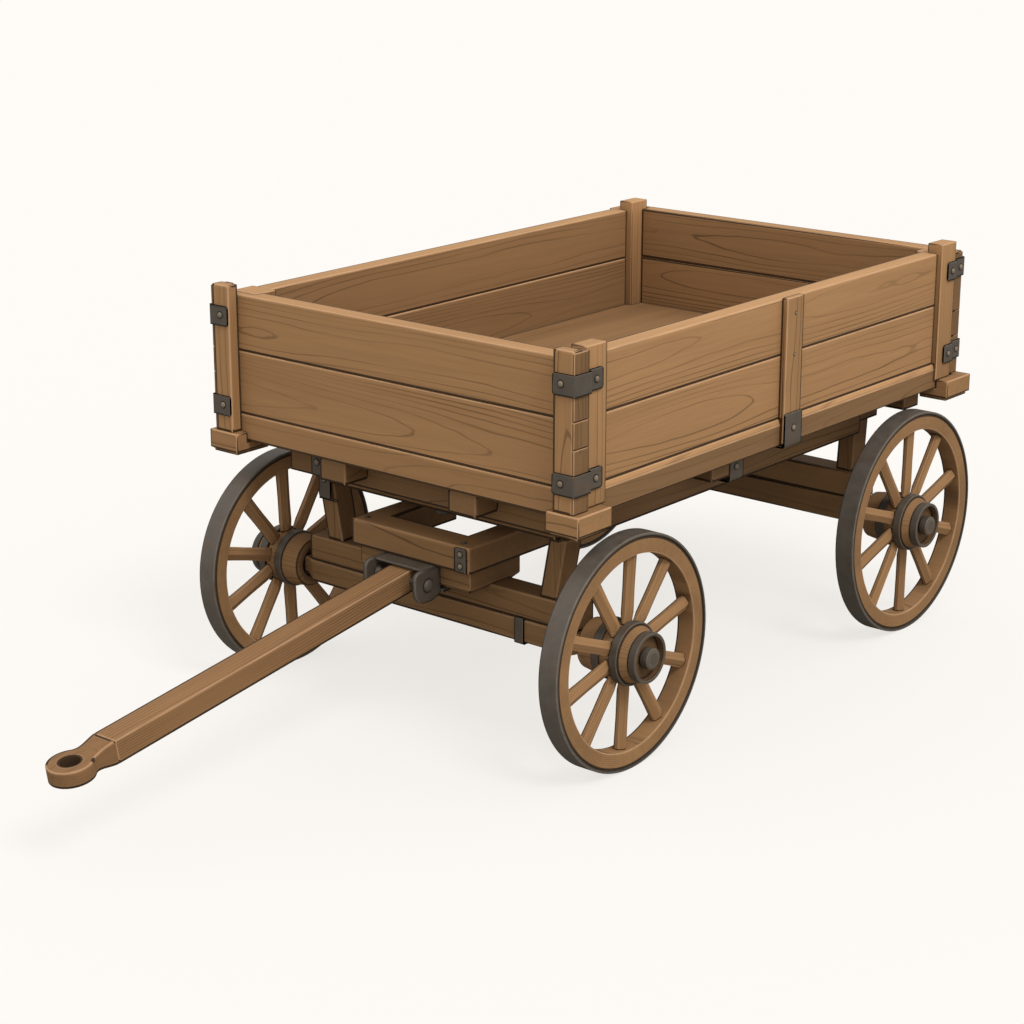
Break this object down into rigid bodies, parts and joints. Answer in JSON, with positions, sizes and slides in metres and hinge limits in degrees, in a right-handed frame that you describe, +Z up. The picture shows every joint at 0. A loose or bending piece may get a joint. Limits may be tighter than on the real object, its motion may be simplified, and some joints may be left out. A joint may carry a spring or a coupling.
{
  "type": "garden cart",
  "caption": "Wooden hand wagon with a plank box, spoked iron-tyred wheels, a steering front truck and a tilting tow bar with an eye at its end.",
  "frame": {"origin": "on the ground, under the middle of the whole cart, tow bar included", "axes": "+X forward to the tow bar, +Y to the cart's left side, +Z up"},
  "size_m": [1.5434, 0.702, 0.5736],
  "materials": {
    "side_wood": "oiled planed wood with clear long grain",
    "front_wood": "oiled planed wood, a shade darker",
    "floor_wood": "worn floor planks",
    "frame_wood": "dark sawn wood of the underframe",
    "truck_wood": "dark planed wood of the front truck",
    "wheel_wood": "oiled turned and shaved wood",
    "drawbar_wood": "oiled straight-grained wood",
    "iron": "dark forged iron with worn edges and a little rust",
    "tyre_iron": "dull rolled iron, a little brighter on the tread"
  },
  "bodies": {
    "chassis": {"front_sill": "front_wood", "rear_sill": "front_wood", "side_sill_left": "side_wood", "side_sill_right": "side_wood", "front_board_lower": "front_wood", "front_board_upper": "front_wood", "rear_board_lower": "front_wood", "rear_board_upper": "front_wood", "side_board_lower_left": "side_wood", "side_board_lower_right": "side_wood", "side_board_upper_left": "side_wood", "side_board_upper_right": "side_wood", "floor": "floor_wood", "corner_block_front_left": "front_wood", "corner_block_front_right": "front_wood", "corner_block_rear_left": "front_wood", "corner_block_rear_right": "front_wood", "end_post_front_left": "front_wood", "end_post_front_right": "front_wood", "end_post_rear_left": "front_wood", "end_post_rear_right": "front_wood", "side_post_front_left": "side_wood", "side_post_front_right": "side_wood", "side_post_rear_left": "side_wood", "side_post_rear_right": "side_wood", "side_stake_left": "side_wood", "side_stake_right": "side_wood", "joist_left": "frame_wood", "joist_right": "frame_wood", "mid_cross_joist": "frame_wood", "rear_cross_joist": "frame_wood", "front_bolster": "frame_wood", "rear_bolster": "frame_wood", "longeron_left": "frame_wood", "longeron_right": "frame_wood", "rear_axle": "frame_wood", "rear_axle_shaft": "iron", "rear_axle_bed": "frame_wood", "rear_strut_left": "frame_wood", "rear_strut_right": "frame_wood", "kingpin": "iron"},
    "front_truck": {"front_axle": "truck_wood", "front_axle_shaft": "iron", "front_axle_bed": "truck_wood", "front_strut_left": "truck_wood", "front_strut_right": "truck_wood", "turntable_beam": "truck_wood", "saddle_block": "truck_wood", "hounds": "truck_wood", "clevis": "iron", "clevis_pin": "iron"},
    "tow_bar": {"drawbar": "drawbar_wood"},
    "wheel_front_left": {"front_left_wheel": "wheel_wood", "front_left_tyre": "tyre_iron"},
    "wheel_front_right": {"front_right_wheel": "wheel_wood", "front_right_tyre": "tyre_iron"},
    "wheel_rear_left": {"rear_left_wheel": "wheel_wood", "rear_left_tyre": "tyre_iron"},
    "wheel_rear_right": {"rear_right_wheel": "wheel_wood", "rear_right_tyre": "tyre_iron"}
  },
  "joints": [
    {"name": "steering", "type": "hinge", "parent": "chassis", "child": "front_truck", "pos_m": [0.0823, 0, 0.3117], "axis": [0, 0, 1], "range_deg": [-20, 20]},
    {"name": "tow_bar_tilt", "type": "hinge", "parent": "front_truck", "child": "tow_bar", "pos_m": [0.1718, 0, 0.2134], "axis": [0, -1, 0], "range_deg": [0, 25]},
    {"name": "spin_front_left", "type": "hinge", "parent": "front_truck", "child": "wheel_front_left", "pos_m": [0.0823, 0.305, 0.158], "axis": [0, 1, 0], "continuous": true},
    {"name": "spin_front_right", "type": "hinge", "parent": "front_truck", "child": "wheel_front_right", "pos_m": [0.0823, -0.305, 0.158], "axis": [0, 1, 0], "continuous": true},
    {"name": "spin_rear_left", "type": "hinge", "parent": "chassis", "child": "wheel_rear_left", "pos_m": [-0.6047, 0.305, 0.167], "axis": [0, 1, 0], "continuous": true},
    {"name": "spin_rear_right", "type": "hinge", "parent": "chassis", "child": "wheel_rear_right", "pos_m": [-0.6047, -0.305, 0.167], "axis": [0, 1, 0], "continuous": true}
  ]
}
